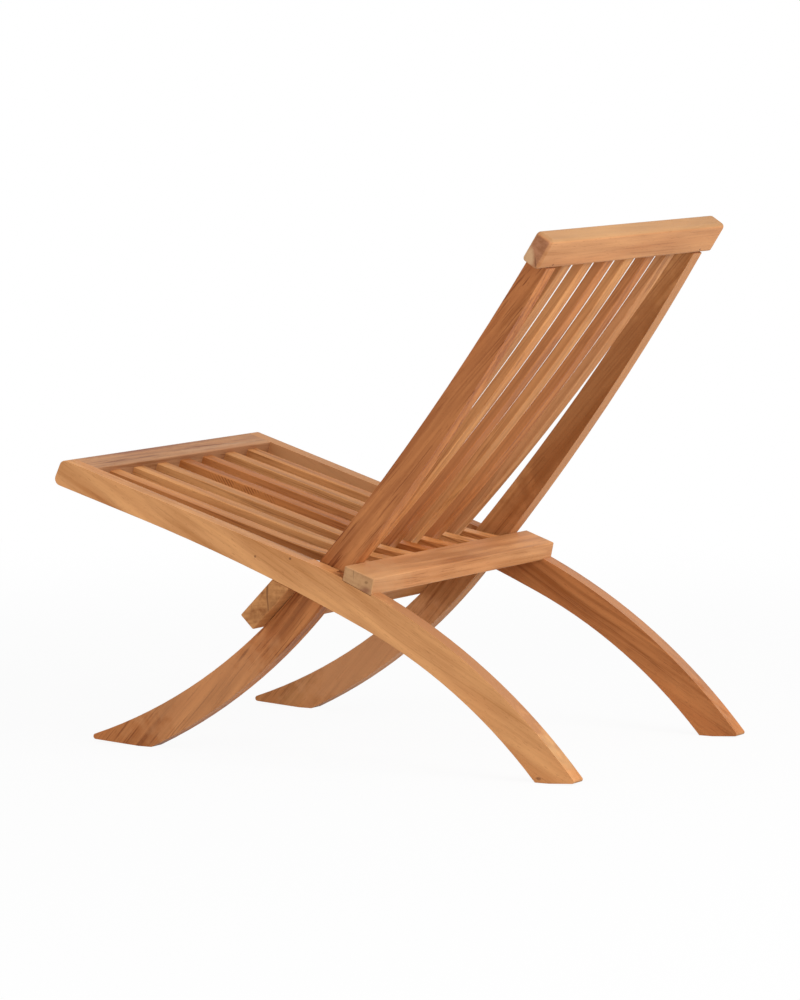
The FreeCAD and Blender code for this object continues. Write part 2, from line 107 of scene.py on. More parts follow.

# Where wear and a painted highlight on the arrises start and are full, by how far a face turns over
# the arris and by how far up it looks: undersides are spared, so the paleness is partly painted highlight
wear_and_highlight_turn = (0.02, 0.24)
wear_and_highlight_upward = (-0.5, 0.1)

# Saw marks: the seat slat that has them, how squarely a face has to look sideways to show
# them, their slant and pitch, and where they fade in and out
sawn_slat = 4
saw_side = (0.6, 0.9)
saw_pitch = (360.0, 420.0, 0.0)
saw_front = (-0.315, -0.28)
saw_rear = (-0.18, -0.21)
saw_unevenness = (60.0, 60.0, 60.0)
saw_strength = 0.7

# Gloss and relief of the wood
wood_ior = 1.42
wood_specular = 0.18
wood_roughness = 0.47
pale_extra_roughness = 0.14
end_extra_roughness = 0.2
wood_relief = 0.3
wood_relief_depth = 0.0005
pore_depth = 0.6
line_depth = 0.3

# Brushed steel: its scratches as repeats per metre, and its roughness
scratch_grain = (300.0, 2500.0, 2500.0)
steel_roughness = 0.25
scratch_roughness = 0.25

# Knots, patches, and painted shade and light on some faces: noise that frays their outline, where full
# strength ends as a share of the reach, and how squarely a face has to look their way
mark_wobble = 60.0
usual_core = 0.4
facing_share = (0.5, 0.85)

# Shades about a board's middle colour, as shares of its red, green and blue
light_shade = (1.22, 1.28, 1.32)
dark_shade = (0.74, 0.64, 0.5)
vein_shade = (0.46, 0.33, 0.24)
blush_shade = (1.05, 0.9, 0.8)

# Directions of the grain from level, in degrees
seat_heading = -17.2
leg_heading = -29.5
back_heading = 49.0
slat_heading = 50.0

# Directions in which marked faces look
near_side = (1.0, 0.0, 0.0)
leg_top = (0.0, 0.6, 0.8)
foot_top = (0.0, 0.8, 0.6)
back_rear = (0.0, 0.85, -0.53)
back_top = (0.0, 0.656, 0.755)
seat_inner = (0.0, 0.955, -0.296)

# Random seeds of the slats and dowels, and how far the boards' lay in the log may vary,
# in degrees and metres
seat_slat_seed = 40
back_slat_seed = 60
dowel_seed = 80
slat_tilt = 1.5
slat_yaw = 1.0
slat_heart = (0.02, 0.06)
log_stretch = (2.0, 9.0)

# Sockets of the wood group: how much of each figure, and its colours
amount_names = ("Rings", "Patches", "Lines", "Veins", "Checks")
shade_names = ("Light", "Mid", "Dark", "Vein", "Blush", "End Colour")


def srgb(red, green, blue):
    """A colour as seen on screen (0 to 255), as the linear value that shaders use."""
    channels = []
    for value in (red, green, blue):
        value = value / 255
        if value <= 0.04045:
            channels.append(value / 12.92)
        else:
            channels.append(((value + 0.055) / 1.055) ** 2.4)
    return (*channels, 1.0)


# Colours of the boards, of their sawn ends, and of knots and checks
straw = srgb(206, 146, 93)
honey = srgb(200, 139, 85)
wheat = srgb(190, 134, 88)
apricot = srgb(194, 131, 78)
amber = srgb(184, 125, 76)
copper = srgb(187, 120, 67)
ginger = srgb(180, 114, 65)
umber = srgb(179, 110, 57)
rose = srgb(180, 129, 90)
olive_end = srgb(188, 141, 97)
amber_end = srgb(194, 136, 84)
rosy_end = srgb(178, 122, 88)
red_end = srgb(158, 100, 66)
knot_brown = srgb(110, 66, 40)
check_brown = srgb(104, 66, 42)

# Scratches and ground of the steel
steel_dark = srgb(150, 148, 144)
steel_pale = srgb(186, 184, 180)


class Nodes:
    """A small helper that adds nodes to a tree and links them."""

    def __init__(self, tree):
        self.tree = tree

    def add(self, kind, **settings):
        """A new node of one kind, with its settings."""
        node = self.tree.nodes.new(kind)
        for name, value in settings.items():
            setattr(node, name, value)
        return node

    def link(self, source, target):
        """A link from an output socket to an input socket."""
        self.tree.links.new(source, target)

    def feed(self, target, value):
        """Link a socket to the target, or set the target to a plain value."""
        if isinstance(value, bpy.types.NodeSocket):
            self.link(value, target)
        else:
            target.default_value = value

    def math(self, operation, first, second=0.0, third=0.0, clamp=False):
        """One step of arithmetic on up to three numbers or sockets."""
        node = self.add("ShaderNodeMath", operation=operation, use_clamp=clamp)
        for target, value in zip(node.inputs, (first, second, third)):
            self.feed(target, value)
        return node.outputs[0]

    def vector(self, operation, first, second=(0.0, 0.0, 0.0)):
        """One step of vector arithmetic, which gives a number for a length or a dot product."""
        node = self.add("ShaderNodeVectorMath", operation=operation)
        self.feed(node.inputs[0], first)
        self.feed(node.inputs[1], second)
        return node.outputs["Value"] if operation in ("LENGTH", "DOT_PRODUCT") else node.outputs[0]

    def noise(self, place, grain, detail=2.0, roughness=0.5):
        """Noise that repeats as often per metre along each axis as the grain says."""
        stretched = self.vector("MULTIPLY", place, grain)
        node = self.add("ShaderNodeTexNoise")
        node.inputs["Scale"].default_value = 1.0
        node.inputs["Detail"].default_value = detail
        node.inputs["Roughness"].default_value = roughness
        self.link(stretched, node.inputs["Vector"])
        return node.outputs["Fac"]

    def line_noise(self, place, detail, roughness):
        """Noise along one number instead of a place."""
        node = self.add("ShaderNodeTexNoise", noise_dimensions="1D")
        node.inputs["Scale"].default_value = 1.0
        node.inputs["Detail"].default_value = detail
        node.inputs["Roughness"].default_value = roughness
        self.link(place, node.inputs["W"])
        return node.outputs["Fac"]

    def span(self, value, low, high, smooth=True):
        """The value stretched so that low becomes 0 and high becomes 1."""
        node = self.add("ShaderNodeMapRange")
        node.interpolation_type = "SMOOTHSTEP" if smooth else "LINEAR"
        node.inputs["From Min"].default_value = low
        node.inputs["From Max"].default_value = high
        self.link(value, node.inputs["Value"])
        return node.outputs["Result"]


def colour_sockets(sockets):
    """Those of a node's sockets that carry a colour."""
    return [socket for socket in sockets if socket.type == "RGBA"]


def mix_colour(n, share, first, second):
    """The first colour turned into the second as the share goes from 0 to 1."""
    node = n.add("ShaderNodeMix", data_type="RGBA")
    n.feed(node.inputs[0], share)
    first_socket, second_socket = colour_sockets(node.inputs)
    n.feed(first_socket, first)
    n.feed(second_socket, second)
    return colour_sockets(node.outputs)[0]


def about_zero(n, noise, gain):
    """A noise from 0 to 1, moved to lie about zero and then strengthened."""
    return n.math("MULTIPLY", n.math("SUBTRACT", noise, 0.5), gain)


def wavy_place(n, place):
    """A place in the board, swung by the slow waves that bend every line of the figure."""
    wave = n.add("ShaderNodeTexNoise")
    wave.inputs["Scale"].default_value = 1.0
    wave.inputs["Detail"].default_value = 1.5
    n.link(n.vector("MULTIPLY", place, wave_grain), wave.inputs["Vector"])
    middling = n.vector("SUBTRACT", wave.outputs["Color"], (0.5, 0.5, 0.5))
    swing = n.vector("MULTIPLY", middling, wave_swing)
    return n.vector("ADD", place, swing)


def growth_rings(n, radius):
    """Growth bands round the heart of the log, uneven in width and tone, and their late wood."""
    ring_place = n.math("MULTIPLY", radius, rings_per_metre)
    bands = n.line_noise(n.math("MULTIPLY", radius, ring_unevenness), 2.0, 0.55)
    ring = n.math("FRACT", n.math("ADD", ring_place, about_zero(n, bands, ring_contrast)))
    late = n.math("MULTIPLY", n.span(ring, 0.35, 0.98, smooth=False), n.span(ring, 1.0, 0.975))
    late = n.math("MULTIPLY", late, n.span(bands, 0.3, 0.6))
    return bands, late


def sawn_end(n, given, place, bent, bands):
    """Colour of a sawn end, with rings, open pores and blotches, and its drying checks."""
    speck = n.noise(place, speck_grain, 2.0, 0.7)
    blotch = n.noise(place, blotch_grain, 3.0, 0.6)
    ring_tone = about_zero(n, bands, end_ring_contrast)
    tone = n.math("ADD", ring_tone, about_zero(n, speck, end_speck_contrast))
    tone = n.math("ADD", tone, about_zero(n, blotch, end_blotch_contrast))
    tone = n.math("ADD", tone, end_tone, clamp=True)
    cracks = n.noise(bent, check_grain, 1.0, 0.4)
    check = n.math("MULTIPLY", n.span(cracks, 0.66, 0.71), given["Checks"])
    colour = mix_colour(n, tone, given["End Colour"], given["Vein"])
    return mix_colour(n, check, colour, check_brown), check


def make_wood_group():
    """Teak figure from a place in the board: X runs along the grain, in metres."""
    group = bpy.data.node_groups.new("teak_figure", "ShaderNodeTree")
    face = group.interface
    face.new_socket("Place", in_out="INPUT", socket_type="NodeSocketVector")
    for name in ("End", "Edge", *amount_names):
        face.new_socket(name, in_out="INPUT", socket_type="NodeSocketFloat")
    for name in shade_names:
        face.new_socket(name, in_out="INPUT", socket_type="NodeSocketColor")
    face.new_socket("Colour", in_out="OUTPUT", socket_type="NodeSocketColor")
    face.new_socket("Roughness", in_out="OUTPUT", socket_type="NodeSocketFloat")
    face.new_socket("Height", in_out="OUTPUT", socket_type="NodeSocketFloat")
    n = Nodes(group)
    given = n.add("NodeGroupInput").outputs
    made = n.add("NodeGroupOutput").inputs
    place = given["Place"]
    bent = wavy_place(n, place)
    radius = n.vector("LENGTH", n.vector("MULTIPLY", bent, (0.0, 1.0, 1.0)))
    bands, late = growth_rings(n, radius)

    # Broad patches, streaks, fibres, fine lines and pores drawn out along the grain
    patch = n.noise(bent, patch_grain, 2.5, 0.5)
    streak = n.noise(bent, streak_grain, 2.0, 0.45)
    fibre = n.noise(bent, fibre_grain, 3.0, 0.65)
    fine_line = n.span(n.noise(bent, line_grain, 2.0, 0.5), 0.57, 0.65)
    pores = n.span(n.noise(bent, pore_grain, 1.0, 0.5), 0.64, 0.74)

    # All of them together set how pale or dark the wood is
    band_tone = about_zero(n, bands, ring_contrast)
    late_tone = n.math("MULTIPLY_ADD", late, late_wood_contrast, late_wood_balance)
    rings = n.math("ADD", band_tone, late_tone)
    tone = n.math("MULTIPLY_ADD", rings, given["Rings"], middle_tone)
    tone = n.math("MULTIPLY_ADD", about_zero(n, patch, patch_contrast), given["Patches"], tone)
    streak_tone = about_zero(n, streak, streak_contrast)
    lines = n.math("ADD", streak_tone, about_zero(n, fibre, fibre_contrast))
    tone = n.math("MULTIPLY_ADD", lines, given["Lines"], tone, clamp=True)
    pale = n.span(tone, pale_tone, middle_tone, smooth=False)
    deep = n.span(tone, middle_tone, deep_tone, smooth=False)
    colour = mix_colour(n, pale, given["Light"], given["Mid"])
    colour = mix_colour(n, deep, colour, given["Dark"])

    # Warmer clouds, a few dark veins that follow the rings, thin vessel lines and pores
    cloud = n.noise(bent, cloud_grain, 2.0, 0.5)
    warmth = n.math("MULTIPLY", n.span(cloud, 0.45, 0.7), blush_strength)
    colour = mix_colour(n, warmth, colour, given["Blush"])
    vein_noise = n.line_noise(n.math("MULTIPLY", radius, veins_per_metre), 1.0, 0.5)
    vein_line = n.span(vein_noise, 0.63, 0.74)
    broken = n.math("MULTIPLY", n.span(streak, 0.35, 0.65), given["Veins"])
    colour = mix_colour(n, n.math("MULTIPLY", vein_line, broken), colour, given["Vein"])
    thin = n.math("MULTIPLY", fine_line, n.math("MULTIPLY_ADD", n.span(patch, 0.4, 0.6), 0.55, 0.25))
    thin = n.math("MULTIPLY", thin, given["Lines"])
    colour = mix_colour(n, thin, colour, given["Vein"])
    colour = mix_colour(n, n.math("MULTIPLY", pores, pore_strength), colour, given["Vein"])

    # Eased edges are a little paler: wear from hands and sanding, and a painted highlight on the upward
    # ones
    uneven = n.math("MULTIPLY_ADD", n.span(patch, 0.35, 0.65), 0.5, 0.5)
    wear_and_highlight = n.math("MULTIPLY", given["Edge"], uneven)
    colour = mix_colour(n, n.math("MULTIPLY", wear_and_highlight, wear_and_highlight_strength), colour, given["Light"])

    # Sawn ends show the figure across the grain
    end_colour, check = sawn_end(n, given, place, bent, bands)
    colour = mix_colour(n, given["End"], colour, end_colour)

    # Pale wood and sawn ends are duller, and pores, fine lines and checks are sunk
    paleness = n.math("SUBTRACT", 1.0, tone)
    rough = n.math("MULTIPLY_ADD", paleness, pale_extra_roughness, wood_roughness)
    rough = n.math("MULTIPLY_ADD", given["End"], end_extra_roughness, rough, clamp=True)
    height = n.math("MULTIPLY_ADD", fibre, 0.5, n.math("MULTIPLY", streak, 0.5))
    height = n.math("MULTIPLY_ADD", pores, -pore_depth, height)
    height = n.math("MULTIPLY_ADD", fine_line, -line_depth, height)
    height = n.math("SUBTRACT", height, n.math("MULTIPLY", check, given["End"]))
    n.link(colour, made["Colour"])
    n.link(rough, made["Roughness"])
    n.link(height, made["Height"])
    return group


wood_group = make_wood_group()


def grain_turn(heading, tilt, yaw):
    """The turn that lays the grain along X. Without a heading the grain already runs across the chair."""
    if heading is None:
        base = Matrix.Identity(3)
    else:
        angle = math.radians(heading)
        base = Matrix((
            (0.0, math.cos(angle), math.sin(angle)),
            (0.0, -math.sin(angle), math.cos(angle)),
            (1.0, 0.0, 0.0)))
    lean = Matrix.Rotation(math.radians(tilt), 3, "Y") @ Matrix.Rotation(math.radians(yaw), 3, "Z")
    return lean @ base


def toned(colour, red, green, blue):
    """A colour with each of its channels scaled by a share."""
    return (colour[0] * red, colour[1] * green, colour[2] * blue, 1.0)


def shades(middle, end_colour):
    """Light, middle, dark, vein, blush and sawn-end colours about one middle colour."""
    light, dark, vein, blush = [
        toned(middle, *shade) for shade in (light_shade, dark_shade, vein_shade, blush_shade)]
    return light, middle, dark, vein, blush, end_colour


def saw_marks(n, place, spot):
    """Slanting marks of a saw near the front of a slat."""
    slant = n.vector("DOT_PRODUCT", place, saw_pitch)
    stripe = n.span(n.math("SINE", n.math("MULTIPLY", slant, math.pi)), -0.2, 0.6)
    along = n.vector("DOT_PRODUCT", spot, (0.0, 1.0, 0.0))
    reach = n.math("MULTIPLY", n.span(along, *saw_front), n.span(along, *saw_rear))
    depth = n.span(n.noise(spot, saw_unevenness), 0.35, 0.6)
    return n.math("MULTIPLY", n.math("MULTIPLY", stripe, reach), depth)


def local_mark(n, spot, normal, mark):
    """How strongly a knot, band, patch, or painted shade or light on a face shows at a place on the board.
    """
    wobble = n.add("ShaderNodeTexNoise")
    wobble.inputs["Scale"].default_value = mark_wobble
    n.link(spot, wobble.inputs["Vector"])
    offset = n.vector("DIVIDE", n.vector("SUBTRACT", spot, mark["centre"]), mark["reach"])
    shift = n.vector("SUBTRACT", wobble.outputs["Color"], (0.5, 0.5, 0.5))
    distance = n.vector("LENGTH", n.vector("ADD", offset, shift))
    share = n.span(distance, 1.0, mark.get("core", usual_core))
    if "facing" in mark:
        squareness = n.vector("DOT_PRODUCT", normal, mark["facing"])
        share = n.math("MULTIPLY", share, n.span(squareness, *facing_share))
    return n.math("MULTIPLY", share, mark["share"])


def cut_grain(n, normal, heading):
    """How far a face looks like a sawn end, by how squarely it cuts the grain."""
    along = grain_turn(heading, 0.0, 0.0).transposed() @ Vector((1.0, 0.0, 0.0))
    cut = n.math("ABSOLUTE", n.vector("DOT_PRODUCT", normal, tuple(along)))
    squarely = n.span(cut, *square_cut)
    slanting = n.math("MULTIPLY", n.span(cut, *slant_cut), slant_share)
    return n.math("MAXIMUM", squarely, slanting)


def arris_wear_and_highlight(n, normal):
    """How far a face is turned over an arris, undersides aside, and how squarely it looks sideways."""
    parts = n.add("ShaderNodeSeparateXYZ")
    n.link(normal, parts.inputs["Vector"])
    sideways = n.math("ABSOLUTE", parts.outputs["X"])
    outline = n.vector("LENGTH", n.vector("MULTIPLY", normal, (0.0, 1.0, 1.0)))
    corner = n.math("SUBTRACT", 1.0, n.math("MAXIMUM", sideways, outline))
    turned = n.span(corner, *wear_and_highlight_turn)
    # Undersides are spared, so the paler arrises are partly a painted highlight on the upward edges
    edge = n.math("MULTIPLY", turned, n.span(parts.outputs["Z"], *wear_and_highlight_upward))
    return edge, sideways


def wood(name, colours, heading, seed, tilt=1.5, yaw=0.6, heart=(0.03, 0.06), rings=0.5, patches=0.6,
         lines=0.6, veins=0.3, checks=0.6, sawn=False, marks=()):
    """A teak material for one board: its colours, grain direction and place in the log."""
    chance = random.Random(seed)
    material = bpy.data.materials.new(name)
    material.use_nodes = True
    n = Nodes(material.node_tree)
    shader = material.node_tree.nodes["Principled BSDF"]
    spot = n.add("ShaderNodeTexCoord").outputs
    lay = n.add("ShaderNodeMapping")
    lay.inputs["Rotation"].default_value = grain_turn(heading, tilt, yaw).to_euler()
    lay.inputs["Location"].default_value = (chance.uniform(*log_stretch), *heart)
    n.link(spot["Object"], lay.inputs["Vector"])
    place = lay.outputs["Vector"]
    figure = n.add("ShaderNodeGroup")
    figure.node_tree = wood_group
    n.link(place, figure.inputs["Place"])
    n.link(cut_grain(n, spot["Normal"], heading), figure.inputs["End"])
    edge, sideways = arris_wear_and_highlight(n, spot["Normal"])
    n.link(edge, figure.inputs["Edge"])
    for key, value in zip(amount_names, (rings, patches, lines, veins, checks)):
        figure.inputs[key].default_value = value
    for key, value in zip(shade_names, colours):
        figure.inputs[key].default_value = value

    # Saw marks, knots, patches, and painted shade and light lie over the figure
    colour = figure.outputs["Colour"]
    if sawn:
        stripes = saw_marks(n, place, spot["Object"])
        stripes = n.math("MULTIPLY", stripes, n.span(sideways, *saw_side))
        vein_colour = colours[shade_names.index("Vein")]
        colour = mix_colour(n, n.math("MULTIPLY", stripes, saw_strength), colour, vein_colour)
    for mark in marks:
        share = local_mark(n, spot["Object"], spot["Normal"], mark)
        colour = mix_colour(n, share, colour, mark["colour"])
    bump = n.add("ShaderNodeBump")
    bump.inputs["Strength"].default_value = wood_relief
    bump.inputs["Distance"].default_value = wood_relief_depth
    n.link(figure.outputs["Height"], bump.inputs["Height"])
    n.link(bump.outputs["Normal"], shader.inputs["Normal"])
    n.link(colour, shader.inputs["Base Color"])
    n.link(figure.outputs["Roughness"], shader.inputs["Roughness"])
    shader.inputs["IOR"].default_value = wood_ior
    shader.inputs["Specular IOR Level"].default_value = wood_specular
    return material


def steel(name):
    """Brushed steel for the pins and washers of the pivots."""
    material = bpy.data.materials.new(name)
    material.use_nodes = True
    n = Nodes(material.node_tree)
    shader = material.node_tree.nodes["Principled BSDF"]
    spot = n.add("ShaderNodeTexCoord")
    scratch = n.noise(spot.outputs["Object"], scratch_grain, 3.0, 0.6)
    tint = mix_colour(n, scratch, steel_dark, steel_pale)
    rough = n.math("MULTIPLY_ADD", scratch, scratch_roughness, steel_roughness)
    n.link(tint, shader.inputs["Base Color"])
    n.link(rough, shader.inputs["Roughness"])
    shader.inputs["Metallic"].default_value = 1.0
    return material


# Knots, patches and bands on single boards, and painted shade and light on some of their faces.
# Near and far are as the photograph sees the chair.
# Each has a centre and a reach in metres and the share of its colour. It may have a core, the
# share of the reach at full strength, and facing, which keeps it to faces that look one way
small_knot = (0.0024, 0.0024, 0.0024)
everywhere = (2.0, 2.0, 2.0)
near_marks = (
    dict(centre=(0.25, -0.0795, 0.2694), reach=small_knot, share=0.7, colour=knot_brown),
    dict(centre=(0.25, -0.0263, 0.2691), reach=small_knot, share=0.8, colour=knot_brown),
    dict(centre=(0.25, 0.343, 0.006), reach=(0.004, 0.005, 0.003), share=0.6, colour=knot_brown),
    dict(centre=(0.25, 0.327, 0.005), reach=(0.004, 0.006, 0.002), share=0.5, colour=knot_brown),
    dict(centre=(0.2375, 0.22, 0.16), reach=(0.1, 0.25, 0.25), share=0.75,
         colour=srgb(163, 111, 75), facing=leg_top),
    dict(centre=(0.2375, 0.346, 0.02), reach=(0.05, 0.045, 0.05), share=0.5,
         colour=srgb(190, 152, 106), facing=foot_top),
)
far_rail_marks = (
    dict(centre=(-0.2375, -0.3, 0.36), reach=(0.1, 0.42, 0.2), share=0.7, colour=srgb(204, 148, 100)),
    dict(centre=(-0.2375, 0.22, 0.16), reach=(0.1, 0.25, 0.25), share=0.5,
         colour=srgb(176, 134, 104), facing=leg_top),
)
front_rail_marks = (
    dict(centre=(0.03, -0.377, 0.376), reach=(0.25, 0.012, 0.05), share=0.5,
         colour=srgb(136, 84, 62)),
    dict(centre=(-0.09, -0.352, 0.366), reach=(0.16, 0.006, 0.05), share=0.35,
         colour=srgb(212, 170, 132)),
    # painted shade: the whole inner face of the front rail is darkened, where the slats shade it
    dict(centre=(0.0, -0.345, 0.35), reach=everywhere, core=0.9, share=0.35,
         colour=srgb(120, 74, 44), facing=seat_inner),
)
top_rail_marks = (
    dict(centre=(0.25, 0.326, 0.676), reach=(0.014, 0.012, 0.020), share=0.8,
         colour=srgb(214, 172, 130), facing=near_side),
    # painted shade: the top face of the top rail is darker and greyer than its other faces
    dict(centre=(0.0, 0.34, 0.68), reach=everywhere, core=0.9, share=0.4,
         colour=srgb(160, 134, 95), facing=back_top),
)
rear_crossbar_marks = (
    dict(centre=(0.235, 0.076, 0.246), reach=(0.1, 0.08, 0.08), share=0.35, colour=srgb(200, 156, 112)),
    dict(centre=(0.25, 0.086, 0.233), reach=(0.01, 0.015, 0.009), core=0.0, share=0.75,
         colour=srgb(132, 80, 58), facing=near_side),
    dict(centre=(0.25, 0.089, 0.2437), reach=(0.006, 0.0035, 0.0025), share=0.5,
         colour=srgb(112, 76, 48)),
)
lower_crossbar_marks = (
    dict(centre=(0.25, -0.052, 0.206), reach=(0.01, 0.018, 0.024), core=0.0, share=0.6,
         colour=srgb(136, 86, 48), facing=near_side),
    dict(centre=(0.25, -0.078, 0.186), reach=(0.01, 0.016, 0.009), core=0.0, share=0.45,
         colour=srgb(146, 94, 54), facing=near_side),
)
back_slat_painted_shade = (
    # painted shade: the near side faces of every back slat are darker, in the shade between the slats
    dict(centre=(0.0, 0.2, 0.45), reach=everywhere, core=0.9, share=0.45,
         colour=srgb(175, 115, 71), facing=near_side),
)
near_back_marks = (
    dict(centre=(0.2235, -0.17, 0.08), reach=(0.02, 0.17, 0.13), share=0.45,
         colour=srgb(206, 148, 100)),
    dict(centre=(0.2235, 0.18, 0.43), reach=(0.02, 0.22, 0.26), share=0.35,
         colour=srgb(160, 94, 52)),
)
far_back_marks = (
    dict(centre=(-0.1985, -0.17, 0.08), reach=(0.02, 0.17, 0.13), share=0.6,
         colour=srgb(208, 150, 104)),
    # painted shade: the inner face of the far back rail is darker, where the chair shades it
    dict(centre=(-0.1985, 0.2, 0.45), reach=(0.02, 0.25, 0.3), share=0.6,
         colour=srgb(142, 84, 42), facing=near_side),
    # painted light: the rear face of the far back rail is paler, where the light falls on it
    dict(centre=(-0.211, 0.22, 0.45), reach=(0.1, 0.4, 0.45), share=0.5,
         colour=srgb(190, 136, 93), facing=back_rear),
)

# For each board its middle and end colour, grain heading, seed and figure
board_looks = {
    "seat_rail_left": (straw, olive_end, leg_heading, 11, dict(
        tilt=2.2, yaw=1.5, heart=(0.02, 0.07), rings=0.4, patches=0.8, lines=0.25, veins=0.15,
        marks=near_marks)),
    "seat_rail_right": (ginger, olive_end, leg_heading, 12, dict(
        tilt=-1.6, yaw=1.0, heart=(0.05, 0.06), rings=0.5, patches=0.9, lines=0.6, veins=0.3,
        marks=far_rail_marks)),
    "front_rail": (rose, olive_end, None, 13, dict(
        tilt=1.2, yaw=1.0, heart=(0.02, 0.05), rings=0.9, patches=1.4, lines=1.2, veins=1.0,
        marks=front_rail_marks)),
    "rear_crossbar": (wheat, olive_end, None, 14, dict(
        tilt=0.8, yaw=0.7, heart=(0.03, 0.05), rings=0.35, patches=1.2, lines=0.6, veins=0.2,
        checks=0.7, marks=rear_crossbar_marks)),
    "lower_crossbar": (amber, amber_end, None, 15, dict(
        tilt=0.6, yaw=0.9, heart=(0.02, 0.04), rings=0.5, veins=0.2, checks=0.7,
        marks=lower_crossbar_marks)),
    "top_rail": (wheat, rosy_end, None, 16, dict(
        tilt=0.5, yaw=0.6, heart=(0.04, 0.08), rings=0.3, patches=0.7, lines=0.4, veins=0.1,
        marks=top_rail_marks)),
    "back_rail_left": (ginger, red_end, back_heading, 17, dict(
        tilt=1.8, yaw=1.2, heart=(0.03, 0.05), rings=0.5, patches=1.3, lines=1.4, veins=0.5,
        marks=near_back_marks)),
    "back_rail_right": (amber, red_end, back_heading, 18, dict(
        tilt=-1.4, yaw=0.9, heart=(0.02, 0.06), rings=0.5, patches=0.8, lines=0.7, veins=0.3,
        marks=far_back_marks)),
    "top_rail_pins": (knot_brown, knot_brown, back_heading, 19, dict()),
}
seat_slat_tones = (apricot, honey, copper, umber, honey, honey, apricot)
back_slat_tones = (wheat, ginger, honey, ginger, honey, amber)


def slat_lay(seed):
    """A small random tilt, yaw and place in the log for one slat."""
    chance = random.Random(seed)
    return dict(
        tilt=chance.uniform(-slat_tilt, slat_tilt), yaw=chance.uniform(-slat_yaw, slat_yaw),
        heart=(chance.uniform(*slat_heart), chance.uniform(*slat_heart)))


for index, middle in enumerate(seat_slat_tones, start=1):
    seed = seat_slat_seed + index
    board_looks["seat_slat_%d" % index] = (middle, olive_end, seat_heading, seed, dict(
        **slat_lay(seed), rings=0.8, patches=1.1, lines=0.8, sawn=index == sawn_slat))
for index, middle in enumerate(back_slat_tones, start=1):
    seed = back_slat_seed + index
    board_looks["back_slat_%d" % index] = (middle, olive_end, slat_heading, seed, dict(
        **slat_lay(seed), rings=0.7, lines=0.9, veins=0.5, marks=back_slat_painted_shade))
for name in ("rear_crossbar_dowels", "lower_crossbar_dowels"):
    board_looks[name] = (wheat, olive_end, None, dowel_seed, dict(heart=(0.03, 0.03)))


def geometry_group(name):
    """A node group that a mesh goes through, its nodes, and its way in and out."""
    group = bpy.data.node_groups.new(name, "GeometryNodeTree")
    group.interface.new_socket("Geometry", in_out="INPUT", socket_type="NodeSocketGeometry")
    group.interface.new_socket("Geometry", in_out="OUTPUT", socket_type="NodeSocketGeometry")
    n = Nodes(group)
    mesh_in = n.add("NodeGroupInput").outputs[0]
    mesh_out = n.add("NodeGroupOutput").inputs[0]
    return group, n, mesh_in, mesh_out


def make_smoothing():
    """Smooth shading that leaves edges sharp where they turn further than a set angle."""
    group, n, mesh_in, mesh_out = geometry_group("smooth_faces")
    faces = n.add("GeometryNodeSetShadeSmooth", domain="FACE")
    edges = n.add("GeometryNodeSetShadeSmooth", domain="EDGE")
    angle = n.add("GeometryNodeInputMeshEdgeAngle")
    compare = n.add("FunctionNodeCompare", data_type="FLOAT", operation="LESS_EQUAL")
    compare.inputs["B"].default_value = sharp_angle
    n.link(angle.outputs["Unsigned Angle"], compare.inputs["A"])
    n.link(mesh_in, faces.inputs["Geometry"])
    n.link(faces.outputs[0], edges.inputs["Geometry"])
    n.link(compare.outputs["Result"], edges.inputs["Shade Smooth"])
    n.link(edges.outputs[0], mesh_out)
    return group


def make_arris_marks():
    """Give outer arrises a bevel weight of one and leave mortise mouths, shoulders and housings at zero."""
    group, n, mesh_in, mesh_out = geometry_group("arris_marks")
    angle = n.add("GeometryNodeInputMeshEdgeAngle").outputs["Signed Angle"]

    def store(geometry, name, domain, value):
        """Keep a value on the mesh under a name."""
        node = n.add("GeometryNodeStoreNamedAttribute", data_type="FLOAT", domain=domain)
        node.inputs["Name"].default_value = name
        n.link(geometry, node.inputs["Geometry"])
        n.link(value, node.inputs["Value"])
        return node.outputs["Geometry"]

    def stored(name):
        """A value that the mesh keeps under a name."""
        node = n.add("GeometryNodeInputNamedAttribute", data_type="FLOAT")
        node.inputs["Name"].default_value = name
        return node.outputs["Attribute"]

    # A face with an inward corner belongs to a mortise, a tenon or a housing
    geometry = store(mesh_in, "inward", "EDGE", n.math("LESS_THAN", angle, -inward_angle))
    in_joint = n.math("GREATER_THAN", stored("inward"), hardly_any)
    geometry = store(geometry, "joint_face", "FACE", in_joint)
    free = n.math("LESS_THAN", stored("joint_face"), hardly_any)
    outward = n.math("GREATER_THAN", angle, outward_angle)
    geometry = store(geometry, "bevel_weight_edge", "EDGE", n.math("MULTIPLY", free, outward))
    n.link(geometry, mesh_out)
    return group


smoothing = make_smoothing()
arris_marks = make_arris_marks()


def dress(node, rounding):
    """Join a CAD node's facets, ease its outer arrises and shade it smoothly."""
    weld = node.modifiers.new("weld", "WELD")
    weld.merge_threshold = weld_distance
    flatten = node.modifiers.new("flatten", "DECIMATE")
    flatten.decimate_type = "DISSOLVE"
    flatten.angle_limit = flat_angle
    if rounding:
        mark = node.modifiers.new("mark", "NODES")
        mark.node_group = arris_marks
        bevel = node.modifiers.new("ease", "BEVEL")
        bevel.width = rounding
        bevel.segments = bevel_steps
        bevel.limit_method = "WEIGHT"
        bevel.miter_outer = "MITER_ARC"
    smooth = node.modifiers.new("smooth", "NODES")
    smooth.node_group = smoothing
    weigh = node.modifiers.new("weigh", "WEIGHTED_NORMAL")
    weigh.keep_sharp = True


def paint(node, material):
    """Give a CAD node one material in place of what it has."""
    node.data.materials.clear()
    node.data.materials.append(material)


